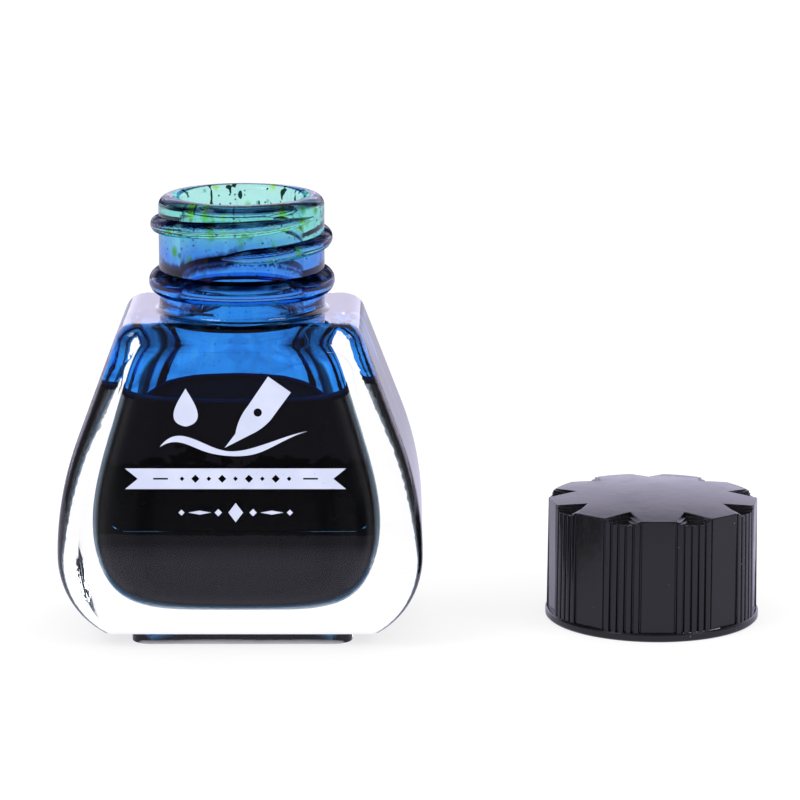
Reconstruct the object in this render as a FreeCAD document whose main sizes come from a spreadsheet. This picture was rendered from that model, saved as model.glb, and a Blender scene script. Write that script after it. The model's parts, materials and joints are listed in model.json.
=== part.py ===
import FreeCAD, Part
import math
import os

import Sketcher

# Glass ink bottle with its screw cap standing beside it, in millimetres.
# +Z is up and the origin is the middle of the bottle's flat base.
# -Y is the printed front of the bottle, and the cap stands on the +X side.

SIZES = {
    # outer glass body, seen from the front: a bowl up to the belly, then a tapering wall
    "belly_height": 14.6,
    "shoulder_height": 49.6,
    "front_belly": 27.5,
    "front_bowl": 16.0,
    "front_wall": 50.0,
    "front_taper": 20.6,
    # the same seen from the side
    "side_belly": 18.5,
    "side_bowl": 19.0,
    "side_wall": 40.0,
    "side_taper": 6.2,
    # low foot that the bottle stands on
    "foot_height": 1.75,
    "foot_half_width": 16.8,
    "foot_half_depth": 12.8,
    "foot_corner": 3.0,
    # roundings of the four upright corners and of the shoulder
    "base_corner": 3.0,
    "belly_corner": 3.4,
    "shoulder_corner": 3.6,
    "shoulder_round": 3.0,
    "overrun": 0.4,
    # ink chamber inside the thick walls, oval in plan and blown slightly to the left
    "chamber_floor": 6.4,
    "chamber_top": 47.0,
    "chamber_half_width": 21.3,
    "chamber_half_depth": 14.2,
    "chamber_shift": -0.9,
    "throat_round": 3.5,
    # neck
    "bore_radius": 9.4,
    "neck_radius": 12.6,
    "rim_height": 67.1,
    "lip_outer_round": 1.6,
    "lip_inner_round": 1.0,
    "bead_height": 54.0,
    "bead_radius": 14.15,
    "bead_half_height": 1.9,
    "neck_flare": 0.9,
    # screw thread, shared by the neck and the cap: a 28 mm finish with six turns to the inch
    "thread_lead": 4.2333,
    "thread_crest": 13.85,
    "thread_half_width": 1.15,
    "thread_zero": 60.55,
    "thread_first": -101.0,
    "thread_last": 331.0,
    # label panel, a shallow trapezoid in the sloping front
    "panel_depth": 0.25,
    "panel_low": 19.1,
    "panel_high": 46.0,
    "panel_low_half": 20.8,
    "panel_high_half": 16.6,
    "panel_corner": 3.5,
    # ink and print
    "ink_level": 37.3,
    "fluid_gap": 0.04,
    "print_gap": 0.02,
    "print_thick": 0.08,
    "print_middle": -0.5,
    # cap
    "cap_offset": 63.4,
    "cap_behind": 4.5,
    "cap_ring_radius": 16.6,
    "cap_ring_height": 1.2,
    "cap_low_radius": 16.4,
    "cap_high_radius": 16.2,
    "cap_edge_round": 0.35,
    "cap_foot_chamfer": 0.25,
    "cap_ring_fade": 0.1,
    "cap_edge": 18.75,
    "cap_crown": 19.75,
    "cap_land": 15.95,
    "cap_land_half": 2.8,
    "cap_hollow_radius": 14.1,
    "cap_hollow_height": 16.6,
    "cap_mouth_radius": 14.7,
    "cap_mouth_height": 5.4,
    "cap_thread_crest": 12.95,
    "cap_thread_half_width": 0.75,
    "cap_thread_first": -120.0,
    "cap_thread_last": 300.0,
    "notch_apex": 12.0,
    "notch_half_chord": 3.2,
    "notch_step": 0.55,
    "notch_first_sink": 0.1,
    "notch_next_sink": 0.32,
    "notch_length": 8.0,
    "notch_turn": -30.5,
    "groove_depth": 0.28,
    "groove_half_width": 0.36,
    "liner_radius": 13.8,
    "liner_thick": 1.0,
    "liner_gap": 0.05,
}

STAR_POINTS = 9
# printed ornaments, in a plane on the sloping panel: across from the print's middle, and up
NIB = ((-1.6, 31.7), (0.0, 33.8), (1.9, 38.0), (4.9, 42.4), (8.3, 40.0), (5.2, 35.8), (2.3, 33.7))
NIB_SIDE = 9.0                 # radius of the nib's two curved sides
NIB_HOLE = (3.35, 37.0, 0.62)  # across, up and radius
STROKE_TOP = ((-11.3, 31.8), (-8.2, 33.5), (-5.0, 32.5), (-1.2, 31.2), (3.0, 31.8), (6.0, 32.8),
              (10.8, 34.2))
STROKE_FOOT = ((-11.3, 31.8), (-8.2, 32.5), (-5.0, 31.3), (-1.2, 30.5), (3.0, 30.8), (6.0, 32.1),
               (10.8, 34.2))
DROP_MIDDLE = -7.4
DROP_SIDE = ((0.0, 40.6), (1.5, 37.9), (1.8, 36.4), (0.0, 34.9))
BANNER_HALF = 16.5
BANNER_LOW = 25.5
BANNER_HIGH = 28.6
BANNER_TAIL = 1.9              # depth of the swallow tail cut into either end
BANNER_DASH = (11.2, 1.1, 0.13)    # how far out the dashes stand, their half length and height
DIAMOND_PITCH = 2.0
DIAMOND_SIZES = (0.36, 0.62)   # half diagonals of the banner's small and large diamonds
MOTIF_UP = 21.95
MOTIF_MIDDLE = (0.0, 1.1, 1.45)    # across, half width and half height of each diamond
MOTIF_SIDE = ((2.6, 0.55, 0.55), (5.4, 1.7, 0.3), (8.1, 0.45, 0.45))
# the chamber's wall from its floor to above its ceiling, as the control rows of a smooth curve:
# shares of its half width, its half depth and its height
CHAMBER_ROWS = (
    (0.36, 0.36, 0.0),
    (0.66, 0.66, 0.0),
    (0.95, 0.95, 0.045),
    (1.05, 1.05, 0.22),
    (1.00, 1.01, 0.42),
    (0.89, 0.94, 0.61),
    (0.78, 0.87, 0.80),
    (0.69, 0.79, 0.96),
    (0.40, 0.62, 1.08),
)
GROOVES = 6                    # grip grooves under each notch of the star
GROOVE_SPACING = 4.16          # degrees between neighbouring grooves
NOTCH_STEPS = 3                # terraces inside each notch
THREAD_STATION = 12.0          # degrees between stations along a thread
THREAD_BURIED = 0.4            # how far a thread's root reaches into its wall
THREAD_END_SCALE = 0.12        # size of a thread's first and last station
LABEL_DOTS = 9                 # small diamonds knocked out of the banner
REACH = 40.0                   # half length of a cutting prism, longer than the bottle
FLAT = 0.01                    # how level an edge has to be to count as lying flat
SHORTEST_UPRIGHT = 0.5         # rise of the shortest upright corner edge that is rounded
CENTRE_CLEARANCE = 1.0         # the corner edges stand at least this far off both middle planes
NECK_SUNK = 5.0                # how far the neck reaches down into the body
OVER = 1.0                     # how far cutters run past the face they cut
SLAB = 5.0                     # height of the label panel's cutter
FIRST_FADE = 24.0              # degrees over which the neck's thread grows
LAST_FADE = 60.0               # degrees over which it fades
CAP_FADE = 30.0                # the same for both ends of the cap's thread
GROOVE_BED = 0.35              # width of a groove's bed and of its brink, as shares of its width
GROOVE_BRINK = 1.5
LAND_FLARE = 0.1               # how much a land's cutter widens outwards on either side

AXIS_X = FreeCAD.Vector(1, 0, 0)
AXIS_Z = FreeCAD.Vector(0, 0, 1)
ORIGIN = FreeCAD.Vector(0, 0, 0)
FRONT_VIEW = FreeCAD.Placement(ORIGIN, FreeCAD.Rotation(AXIS_X, 90))
SIDE_VIEW = FreeCAD.Placement(ORIGIN, FreeCAD.Rotation(FreeCAD.Vector(1, 1, 1), 120))


# ---------------------------------------------------------------- sheet and sketch helpers

def make_sheet(doc):
    sheet = doc.addObject("Spreadsheet::Sheet", "sizes")
    for row, (alias, value) in enumerate(SIZES.items(), start=1):
        sheet.set("A%d" % row, alias)
        sheet.set("B%d" % row, str(value))
        sheet.setAlias("B%d" % row, alias)
    doc.recompute()
    return sheet


def cell(alias):
    return "<<sizes>>." + alias


def flat(across, up):
    return FreeCAD.Vector(across, up, 0)


def drive(sketch, kind, *args):
    """Add a dimension whose last argument is an expression; the drawing gives its start value."""
    expression = args[-1]
    index = sketch.addConstraint(Sketcher.Constraint(kind, *args[:-1]))
    sketch.setExpression("Constraints[%d]" % index, expression)


def free_sketch(doc, name, placement):
    sketch = doc.addObject("Sketcher::SketchObject", name)
    sketch.Placement = placement
    return sketch


def sized(sheet, *terms):
    """Add cells and plain numbers up, as (expression, present value); "-name" takes a cell away."""
    words = []
    value = 0.0
    for term in terms:
        if isinstance(term, str):
            sign = -1.0 if term.startswith("-") else 1.0
            alias = term.lstrip("-")
            words.append("%+.0f * %s" % (sign, cell(alias)))
            value += sign * getattr(sheet, alias)
        else:
            words.append("%+.4f" % term)
            value += term
    return " ".join(words), value


def turned(sheet, radial, across, angle):
    """A corner at a radius and a sideways step, turned about the axis by an angle in degrees."""
    turn = math.radians(angle)
    (radial_words, radial_value), (across_words, across_value) = radial, across
    swing = (radial_words, angle, across_words, angle)
    words_x = "(%s) * cos(%.4f) - (%s) * sin(%.4f)" % swing
    words_y = "(%s) * sin(%.4f) + (%s) * cos(%.4f)" % swing
    value_x = radial_value * math.cos(turn) - across_value * math.sin(turn)
    value_y = radial_value * math.sin(turn) + across_value * math.cos(turn)
    return (words_x, value_x), (words_y, value_y)


def add_outline(sketch, corners, arcs=None):
    """Close an outline whose corners are ((expression, value), (expression, value)) pairs.

    arcs maps a corner's number to (radius, side) when the edge leaving it is a short arc: side
    is 1 when the arc's centre lies to the left of that edge and -1 when it lies to the right.
    """
    arcs = arcs or {}
    count = len(corners)
    joints = []
    for index, (across, up) in enumerate(corners):
        start = flat(across[1], up[1])
        following = corners[(index + 1) % count]
        finish = flat(following[0][1], following[1][1])
        if index not in arcs:
            edge = sketch.addGeometry(Part.LineSegment(start, finish), False)
            joints.append((edge, 1, 2))
            continue
        (radius_words, radius), side = arcs[index]
        chord = finish - start
        left = flat(-chord.y, chord.x).normalize()
        rise = math.sqrt(max(radius ** 2 - (chord.Length / 2) ** 2, 0.0))
        centre = (start + finish) * 0.5 + left * (side * rise)
        first, last = (start, finish) if side == 1 else (finish, start)
        begin = math.atan2(first.y - centre.y, first.x - centre.x)
        end = math.atan2(last.y - centre.y, last.x - centre.x)
        circle = Part.Circle(centre, AXIS_Z, radius)
        edge = sketch.addGeometry(Part.ArcOfCircle(circle, begin, end), False)
        joints.append((edge, 1, 2) if side == 1 else (edge, 2, 1))
        drive(sketch, "Radius", edge, radius, radius_words)
    for index, (edge, tail, head) in enumerate(joints):
        following, following_tail, _ = joints[(index + 1) % count]
        sketch.addConstraint(
            Sketcher.Constraint("Coincident", edge, head, following, following_tail))
        across, up = corners[index]
        drive(sketch, "DistanceX", -1, 1, edge, tail, across[1], across[0])
        drive(sketch, "DistanceY", -1, 1, edge, tail, up[1], up[0])


def extrude(doc, name, sketch, ahead, behind=None):
    solid = doc.addObject("Part::Extrusion", name)
    solid.Base = sketch
    solid.DirMode = "Normal"
    solid.setExpression("LengthFwd", ahead)
    if behind is not None:
        solid.setExpression("LengthRev", behind)
    solid.Solid = True
    return solid


def revolve(doc, name, sketch):
    solid = doc.addObject("Part::Revolution", name)
    solid.Source = sketch
    solid.Axis = AXIS_Z
    solid.Base = ORIGIN
    solid.Angle = 360.0
    solid.Solid = True
    return solid


def boolean(doc, kind, name, base, tool):
    result = doc.addObject("Part::" + kind, name)
    result.Base = base
    result.Tool = tool
    return result


# ---------------------------------------------------------------- glass body

def wall_outline(doc, name, placement, sheet, keys, floor, belly, top):
    """Sketch a closed outline: base line, bowl arc, wall arc, sloping wall and top line.

    keys names the cells of the belly, bowl, wall and taper sizes; floor, belly and top are
    heights as (expression, value).
    """
    reach_key, bowl_key, wall_key, taper_key = keys
    reach = getattr(sheet, reach_key)
    bowl = getattr(sheet, bowl_key)
    wall = getattr(sheet, wall_key)
    taper = math.radians(getattr(sheet, taper_key))
    bowl_middle = reach - bowl
    base = bowl_middle + math.sqrt(bowl ** 2 - (belly[1] - floor[1]) ** 2)
    bowl_angle = math.asin((belly[1] - floor[1]) / bowl)
    wall_middle = reach - wall
    bend = (wall_middle + wall * math.cos(taper), belly[1] + wall * math.sin(taper))
    crown = bend[0] - (top[1] - bend[1]) * math.tan(taper)

    sketch = free_sketch(doc, name, placement)
    base_line = sketch.addGeometry(Part.LineSegment(flat(-base, floor[1]), flat(base, floor[1])))
    top_line = sketch.addGeometry(Part.LineSegment(flat(crown, top[1]), flat(-crown, top[1])))
    sketch.addConstraint(Sketcher.Constraint("Symmetric", base_line, 1, base_line, 2, -2))
    sketch.addConstraint(Sketcher.Constraint("Symmetric", top_line, 1, top_line, 2, -2))
    drive(sketch, "DistanceY", -1, 1, base_line, 1, floor[1], floor[0])
    drive(sketch, "DistanceY", -1, 1, top_line, 1, top[1], top[0])
    for side in (1, -1):
        bowl_circle = Part.Circle(flat(side * bowl_middle, belly[1]), AXIS_Z, bowl)
        wall_circle = Part.Circle(flat(side * wall_middle, belly[1]), AXIS_Z, wall)
        if side == 1:
            bowl_arc = Part.ArcOfCircle(bowl_circle, -bowl_angle, 0.0)
            wall_arc = Part.ArcOfCircle(wall_circle, 0.0, taper)
        else:
            bowl_arc = Part.ArcOfCircle(bowl_circle, math.pi, math.pi + bowl_angle)
            wall_arc = Part.ArcOfCircle(wall_circle, math.pi - taper, math.pi)
        bowl_index = sketch.addGeometry(bowl_arc)
        wall_index = sketch.addGeometry(wall_arc)
        slope = sketch.addGeometry(
            Part.LineSegment(flat(side * bend[0], bend[1]), flat(side * crown, top[1])))
        # an arc always runs anticlockwise, so its ends swap over on the left side
        low, high = (1, 2) if side == 1 else (2, 1)
        base_end = 2 if side == 1 else 1
        top_end = 1 if side == 1 else 2
        sketch.addConstraint(
            Sketcher.Constraint("Coincident", base_line, base_end, bowl_index, low))
        sketch.addConstraint(Sketcher.Constraint("Tangent", bowl_index, high, wall_index, low))
        sketch.addConstraint(Sketcher.Constraint("Tangent", wall_index, high, slope, 1))
        sketch.addConstraint(Sketcher.Constraint("Coincident", slope, 2, top_line, top_end))
        sketch.addConstraint(Sketcher.Constraint("Horizontal", bowl_index, 3, bowl_index, high))
        drive(sketch, "Radius", bowl_index, bowl, cell(bowl_key))
        drive(sketch, "Radius", wall_index, wall, cell(wall_key))
        drive(sketch, "DistanceY", -1, 1, bowl_index, 3, belly[1], belly[0])
        if side == 1:
            drive(sketch, "DistanceX", -1, 1, bowl_index, high, reach, cell(reach_key))
            drive(sketch, "Angle", -2, 2, slope, 2, taper, cell(taper_key))
    return sketch


def corner_edges(shape, radius_at):
    """The four chains of upright corner edges, each with the radius at either end."""
    picked = []
    for number, edge in enumerate(shape.Edges, start=1):
        middle = edge.valueAt((edge.FirstParameter + edge.LastParameter) / 2)
        off_centre = min(abs(middle.x), abs(middle.y)) > CENTRE_CLEARANCE
        if edge.BoundBox.ZLength > SHORTEST_UPRIGHT and off_centre:
            ends = (edge.firstVertex().Point.z, edge.lastVertex().Point.z)
            picked.append((number, radius_at(ends[0]), radius_at(ends[1])))
    return picked


def lies_at(edge, height):
    """Whether an edge lies level at a height."""
    box = edge.BoundBox
    return abs(box.ZMin - height) < FLAT and abs(box.ZMax - height) < FLAT


def level_edges(shape, height, radius):
    """The edges that lie level at one height, each with its radius."""
    picked = []
    for number, edge in enumerate(shape.Edges, start=1):
        if lies_at(edge, height):
            picked.append((number, radius, radius))
    return picked


def fillet(doc, name, base, edges):
    result = doc.addObject("Part::Fillet", name)
    result.Base = base
    result.Edges = edges
    doc.recompute()
    return result


def rounded_block(doc, name, sheet, keys, heights, corner_radius):
    """The space shared by a front outline pushed along Y and a side outline pushed along X.

    The outlines overrun the floor a little, so that the rounded corners run out cleanly
    through the flat base that flat_bottom() cuts afterwards.
    """
    floor, belly, top = heights
    below = ("%s - %s" % (floor[0], cell("overrun")), floor[1] - sheet.overrun)
    prisms = []
    for view, placement, view_keys in zip(("front", "side"), (FRONT_VIEW, SIDE_VIEW), keys):
        title = "%s_%s" % (name, view)
        sketch = wall_outline(
            doc, title + "_outline", placement, sheet, view_keys, below, belly, top)
        prisms.append(extrude(doc, title + "_prism", sketch, str(REACH), str(REACH)))
    block = boolean(doc, "Common", name + "_block", *prisms)
    doc.recompute()
    return fillet(doc, name + "_corners", block, corner_edges(block.Shape, corner_radius))


def flat_bottom(doc, name, block, floor):
    """Cut a block off flat at its floor."""
    box = doc.addObject("Part::Box", name + "_trim")
    box.Length = box.Width = box.Height = 2 * REACH
    box.Placement.Base = FreeCAD.Vector(-REACH, -REACH, 0)
    box.setExpression("Placement.Base.z", floor[0])
    return boolean(doc, "Common", name + "_trimmed", block, box)


def foot(doc, sheet):
    """The low pad under the bowl, with rounded corners in plan."""
    box = doc.addObject("Part::Box", "foot_blank")
    box.setExpression("Length", "2 * " + cell("foot_half_width"))
    box.setExpression("Width", "2 * " + cell("foot_half_depth"))
    box.setExpression("Height", "2 * " + cell("foot_height"))
    box.setExpression("Placement.Base.x", "-" + cell("foot_half_width"))
    box.setExpression("Placement.Base.y", "-" + cell("foot_half_depth"))
    doc.recompute()
    uprights = []
    for number, edge in enumerate(box.Shape.Edges, start=1):
        if edge.BoundBox.ZLength > sheet.foot_height:
            uprights.append((number, sheet.foot_corner, sheet.foot_corner))
    return fillet(doc, "foot", box, uprights)


def outer_body(doc, sheet):
    keys = (("front_belly", "front_bowl", "front_wall", "front_taper"),
            ("side_belly", "side_bowl", "side_wall", "side_taper"))
    floor = sized(sheet, "foot_height")
    heights = (floor, sized(sheet, "belly_height"), sized(sheet, "shoulder_height"))

    def corner_radius(height):
        belly, shoulder = sheet.belly_height, sheet.shoulder_height
        if height < belly:
            sunk = 1.0 - max(height, 0.0) / belly
            return sheet.belly_corner + (sheet.base_corner - sheet.belly_corner) * sunk
        rise = (height - belly) / (shoulder - belly)
        return sheet.belly_corner + (sheet.shoulder_corner - sheet.belly_corner) * rise

    block = rounded_block(doc, "outer", sheet, keys, heights, corner_radius)
    rim = level_edges(block.Shape, sheet.shoulder_height, sheet.shoulder_round)
    bowl = flat_bottom(doc, "outer", fillet(doc, "outer_shoulder", block, rim), floor)
    return boolean(doc, "Fuse", "outer_body", bowl, foot(doc, sheet))


def oval_block(doc, name, sheet, gap=0.0):
    """The chamber: a smooth oval bowl on a flat floor, drawn in by a gap for the fluid in it.

    Each quarter of its wall is one curved face. Across it runs a bend between the two half
    axes, a little fuller than an ellipse, and up it runs a cubic curve through CHAMBER_ROWS.
    """
    floor = sheet.chamber_floor + gap
    height = sheet.chamber_top - sheet.chamber_floor
    rows = []
    for wide, deep, high in CHAMBER_ROWS:
        rows.append((wide * sheet.chamber_half_width - gap,
                     deep * sheet.chamber_half_depth - gap,
                     floor + high * height))
    spans = len(rows) - 3
    knots = list(range(spans + 1))
    repeats = [4] + [1] * (spans - 1) + [4]
    faces = []
    for side_x, side_y in ((1, 1), (-1, 1), (-1, -1), (1, -1)):
        poles = [[], [], []]
        for half_width, half_depth, up in rows:
            poles[0].append(FreeCAD.Vector(side_x * half_width, 0, up))
            poles[1].append(FreeCAD.Vector(side_x * half_width, side_y * half_depth, up))
            poles[2].append(FreeCAD.Vector(0, side_y * half_depth, up))
        wall = Part.BSplineSurface()
        wall.buildFromPolesMultsKnots(
            poles, [3, 3], repeats, [0, 1], knots, False, False, 2, 3)
        faces.append(wall.toShape())
    for level in (rows[0][2], rows[-1][2]):
        rim = []
        for face in faces[:4]:
            rim += [edge for edge in face.Edges if lies_at(edge, level)]
        faces.append(Part.Face(Part.Wire(Part.__sortEdges__(rim))))
    shell = Part.Shell(faces)
    shell.sewShape()
    block = doc.addObject("Part::Feature", name)
    block.Shape = Part.Solid(shell)
    block.setExpression("Placement.Base.x", cell("chamber_shift"))
    return block


def neck_blank(doc, sheet):
    """The plain neck: flare onto the shoulder, bead ring, wall and rounded lip."""
    sketch = free_sketch(doc, "neck_outline", FRONT_VIEW)
    root = sized(sheet, "shoulder_height", -NECK_SUNK)
    chord, bulge = sheet.bead_half_height, sheet.bead_radius - sheet.neck_radius
    bead = "(%s ^ 2 + (%s - %s) ^ 2) / (2 * (%s - %s))" % (
        cell("bead_half_height"), cell("bead_radius"), cell("neck_radius"),
        cell("bead_radius"), cell("neck_radius"))
    corners = [
        (sized(sheet, 0.0), root),
        (sized(sheet, "neck_radius", "neck_flare"), root),
        (sized(sheet, "neck_radius", "neck_flare"), sized(sheet, "shoulder_height")),
        (sized(sheet, "neck_radius"), sized(sheet, "shoulder_height", "neck_flare")),
        (sized(sheet, "neck_radius"), sized(sheet, "bead_height", "-bead_half_height")),
        (sized(sheet, "neck_radius"), sized(sheet, "bead_height", "bead_half_height")),
        (sized(sheet, "neck_radius"), sized(sheet, "rim_height", "-lip_outer_round")),
        (sized(sheet, "neck_radius", "-lip_outer_round"), sized(sheet, "rim_height")),
        (sized(sheet, 0.0), sized(sheet, "rim_height")),
    ]
    arcs = {
        2: (sized(sheet, "neck_flare"), -1),
        4: ((bead, (chord ** 2 + bulge ** 2) / (2 * bulge)), 1),
        6: (sized(sheet, "lip_outer_round"), 1),
    }
    add_outline(sketch, corners, arcs)
    return revolve(doc, "neck_blank", sketch)


def throat_limit(doc, sheet):
    """Everything inside the ceiling of the chamber, its throat, the bore and the lip."""
    sketch = free_sketch(doc, "throat_outline", FRONT_VIEW)
    low = sized(sheet, "chamber_floor", -OVER)
    corners = [
        (sized(sheet, 0.0), low),
        (sized(sheet, REACH), low),
        (sized(sheet, REACH), sized(sheet, "chamber_top")),
        (sized(sheet, "bore_radius", "throat_round"), sized(sheet, "chamber_top")),
        (sized(sheet, "bore_radius"), sized(sheet, "chamber_top", "throat_round")),
        (sized(sheet, "bore_radius"), sized(sheet, "rim_height", "-lip_inner_round")),
        (sized(sheet, "bore_radius", "lip_inner_round"), sized(sheet, "rim_height")),
        (sized(sheet, "bore_radius", "lip_inner_round"), sized(sheet, "rim_height", OVER)),
        (sized(sheet, 0.0), sized(sheet, "rim_height", OVER)),
    ]
    arcs = {
        3: (sized(sheet, "throat_round"), -1),
        5: (sized(sheet, "lip_inner_round"), -1),
    }
    add_outline(sketch, corners, arcs)
    return revolve(doc, "throat_limit", sketch)


def hollow(doc, sheet):
    """The whole inside of the bottle, from the chamber floor to above the lip."""
    chamber = oval_block(doc, "chamber", sheet)
    shaft = doc.addObject("Part::Cylinder", "bore_shaft")
    shaft.setExpression("Radius", "%s + 2 * %s" % (cell("bore_radius"), OVER))
    shaft.setExpression("Placement.Base.z", "%s + %s - %s" % (
        cell("chamber_top"), cell("throat_round"), OVER))
    shaft.setExpression("Height", "%s - %s - %s + 3 * %s" % (
        cell("rim_height"), cell("chamber_top"), cell("throat_round"), OVER))
    whole = boolean(doc, "Fuse", "chamber_and_shaft", chamber, shaft)
    return boolean(doc, "Common", "bottle_hollow", whole, throat_limit(doc, sheet))


def thread_ridge(doc, name, sheet, wall, crest, half_width, lift, span, ends):
    """A helical ridge that grows out of a wall and fades at both ends.

    lift is the ridge's height above the shared helix, span its first and last angle, and ends
    the angles over which it grows and fades.
    """
    first, last = span
    count = int(round((last - first) / THREAD_STATION))
    root = wall - math.copysign(THREAD_BURIED, crest - wall)
    stations = []
    for index in range(count + 1):
        angle = first + (last - first) * index / count
        grown = min((angle - first) / ends[0], (last - angle) / ends[1], 1.0)
        size = max(math.sin(grown * math.pi / 2), THREAD_END_SCALE)
        height = sheet.thread_zero + lift + sheet.thread_lead * angle / 360.0
        width = half_width * math.sqrt(size)
        outward = FreeCAD.Vector(math.cos(math.radians(angle)), math.sin(math.radians(angle)), 0)
        middle = AXIS_Z * height
        foot_low = outward * root + middle - AXIS_Z * width
        foot_high = outward * root + middle + AXIS_Z * width
        peak = outward * (wall + (crest - wall) * size) + middle
        stations.append(Part.Wire([
            Part.Arc(foot_low, peak, foot_high).toShape(),
            Part.makeLine(foot_high, foot_low),
        ]))
    ridge = doc.addObject("Part::Feature", name)
    ridge.Shape = Part.makeLoft(stations, True, False)
    return ridge


def front_frame(sketch, inward):
    """Lay a sketch on the sloping front, sunk inward by an expression.

    The sketch then has X across the bottle and Y up the slope, counted from the level of the
    base, and its normal points out of the front.
    """
    taper, wall = cell("side_taper"), cell("side_wall")
    plane = "-(%s - %s + %s * cos(%s) + (%s + %s * sin(%s)) * tan(%s))" % (
        cell("side_belly"), wall, wall, taper, cell("belly_height"), wall, taper, taper)
    sketch.setExpression("Placement.Rotation.Axis.x", "1")
    sketch.setExpression("Placement.Rotation.Axis.y", "0")
    sketch.setExpression("Placement.Rotation.Axis.z", "0")
    sketch.setExpression("Placement.Rotation.Angle", "90 - %s" % taper)
    sketch.setExpression("Placement.Base.y", "%s + (%s) * cos(%s)" % (plane, inward, taper))
    sketch.setExpression("Placement.Base.z", "-(%s) * sin(%s)" % (inward, taper))


def label_recess(doc, sheet):
    """The cutter for the shallow label panel: a trapezoid with rounded corners."""
    sketch = free_sketch(doc, "panel_outline", FRONT_VIEW)
    front_frame(sketch, cell("panel_depth"))
    add_outline(sketch, [
        (sized(sheet, "-panel_low_half"), sized(sheet, "panel_low")),
        (sized(sheet, "panel_low_half"), sized(sheet, "panel_low")),
        (sized(sheet, "panel_high_half"), sized(sheet, "panel_high")),
        (sized(sheet, "-panel_high_half"), sized(sheet, "panel_high")),
    ])
    slab = extrude(doc, "panel_slab", sketch, str(SLAB))
    doc.recompute()
    edges = []
    for number, edge in enumerate(slab.Shape.Edges, start=1):
        if abs(edge.Length - SLAB) < FLAT:
            edges.append((number, sheet.panel_corner, sheet.panel_corner))
    return fillet(doc, "panel_cutter", slab, edges)


def make_glass_bottle(doc, sheet):
    thread = thread_ridge(
        doc, "neck_thread", sheet, sheet.neck_radius, sheet.thread_crest,
        sheet.thread_half_width, 0.0, (sheet.thread_first, sheet.thread_last), (FIRST_FADE, LAST_FADE))
    solid = boolean(doc, "Fuse", "body_and_neck", outer_body(doc, sheet), neck_blank(doc, sheet))
    threaded = boolean(doc, "Fuse", "body_and_thread", solid, thread)
    hollowed = boolean(doc, "Cut", "hollowed_body", threaded, hollow(doc, sheet))
    bottle = boolean(doc, "Cut", "bottle", hollowed, label_recess(doc, sheet))
    bottle.Label = "glass_bottle"
    return bottle


def make_ink(doc, sheet):
    """The liquid: the chamber's shape, a hair smaller, cut off level at the ink's surface."""
    room = oval_block(doc, "fluid_room", sheet, sheet.fluid_gap)
    box = doc.addObject("Part::Box", "fluid_depth")
    box.Length = box.Width = 2 * REACH
    box.Placement.Base = FreeCAD.Vector(-REACH, -REACH, 0)
    box.setExpression("Height", cell("ink_level"))
    ink = boolean(doc, "Common", "fluid", room, box)
    ink.Label = "ink"
    return ink


# ---------------------------------------------------------------- printed decoration

def printed(doc, name, sheet):
    """A sketch on the floor of the label panel, one print gap clear of the glass."""
    sketch = free_sketch(doc, name + "_outline", FRONT_VIEW)
    front_frame(sketch, "%s - %s" % (cell("panel_depth"), cell("print_gap")))
    return sketch


def shifted(sheet, points):
    """Corners given from the middle of the print, as driven pairs."""
    return [(sized(sheet, "print_middle", float(x)), sized(sheet, float(y))) for x, y in points]


def diamond(across, up, half_width, half_height):
    return [(across + half_width, up), (across, up + half_height),
            (across - half_width, up), (across, up - half_height)]


def spline_shape(sketch, sheet, one, other):
    """Close a shape between two smooth curves that share their end points."""
    middle = sheet.print_middle
    for points in (one, other):
        curve = Part.BSplineCurve()
        curve.interpolate([flat(x + middle, y) for x, y in points])
        sketch.addGeometry(curve, False)


def make_emblem(doc, sheet):
    """A pen nib pointing down to the left, an ink drop and a pen stroke beneath them."""
    sketch = printed(doc, "emblem", sheet)
    add_outline(sketch, shifted(sheet, NIB), {
        1: (sized(sheet, NIB_SIDE), -1),
        5: (sized(sheet, NIB_SIDE), -1),
    })
    hole_across, hole_up, hole_radius = NIB_HOLE
    hole_middle = flat(sheet.print_middle + hole_across, hole_up)
    sketch.addGeometry(Part.Circle(hole_middle, AXIS_Z, hole_radius))
    spline_shape(sketch, sheet, STROKE_TOP, STROKE_FOOT)
    drop = [[(DROP_MIDDLE + side * x, y) for x, y in DROP_SIDE] for side in (-1, 1)]
    spline_shape(sketch, sheet, *drop)
    emblem = extrude(doc, "emblem", sketch, cell("print_thick"))
    emblem.Label = "emblem_print"
    return emblem


def make_banner(doc, sheet):
    """A swallow-tailed ribbon with a dash near each end and a row of diamonds left open."""
    sketch = printed(doc, "banner", sheet)
    middle = (BANNER_LOW + BANNER_HIGH) / 2
    notched = BANNER_HALF - BANNER_TAIL
    ribbon = [(-BANNER_HALF, BANNER_LOW), (BANNER_HALF, BANNER_LOW), (notched, middle),
              (BANNER_HALF, BANNER_HIGH), (-BANNER_HALF, BANNER_HIGH), (-notched, middle)]
    add_outline(sketch, shifted(sheet, ribbon))
    out, long, high = BANNER_DASH
    for side in (-1, 1):
        dash = [(side * out + x, middle + y)
                for x, y in ((-long, -high), (long, -high), (long, high), (-long, high))]
        add_outline(sketch, shifted(sheet, dash))
    for index in range(LABEL_DOTS):
        across = (index - (LABEL_DOTS - 1) / 2) * DIAMOND_PITCH
        size = DIAMOND_SIZES[index % 2]
        add_outline(sketch, shifted(sheet, diamond(across, middle, size, size)))
    banner = extrude(doc, "banner", sketch, cell("print_thick"))
    banner.Label = "banner_print"
    return banner


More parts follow.
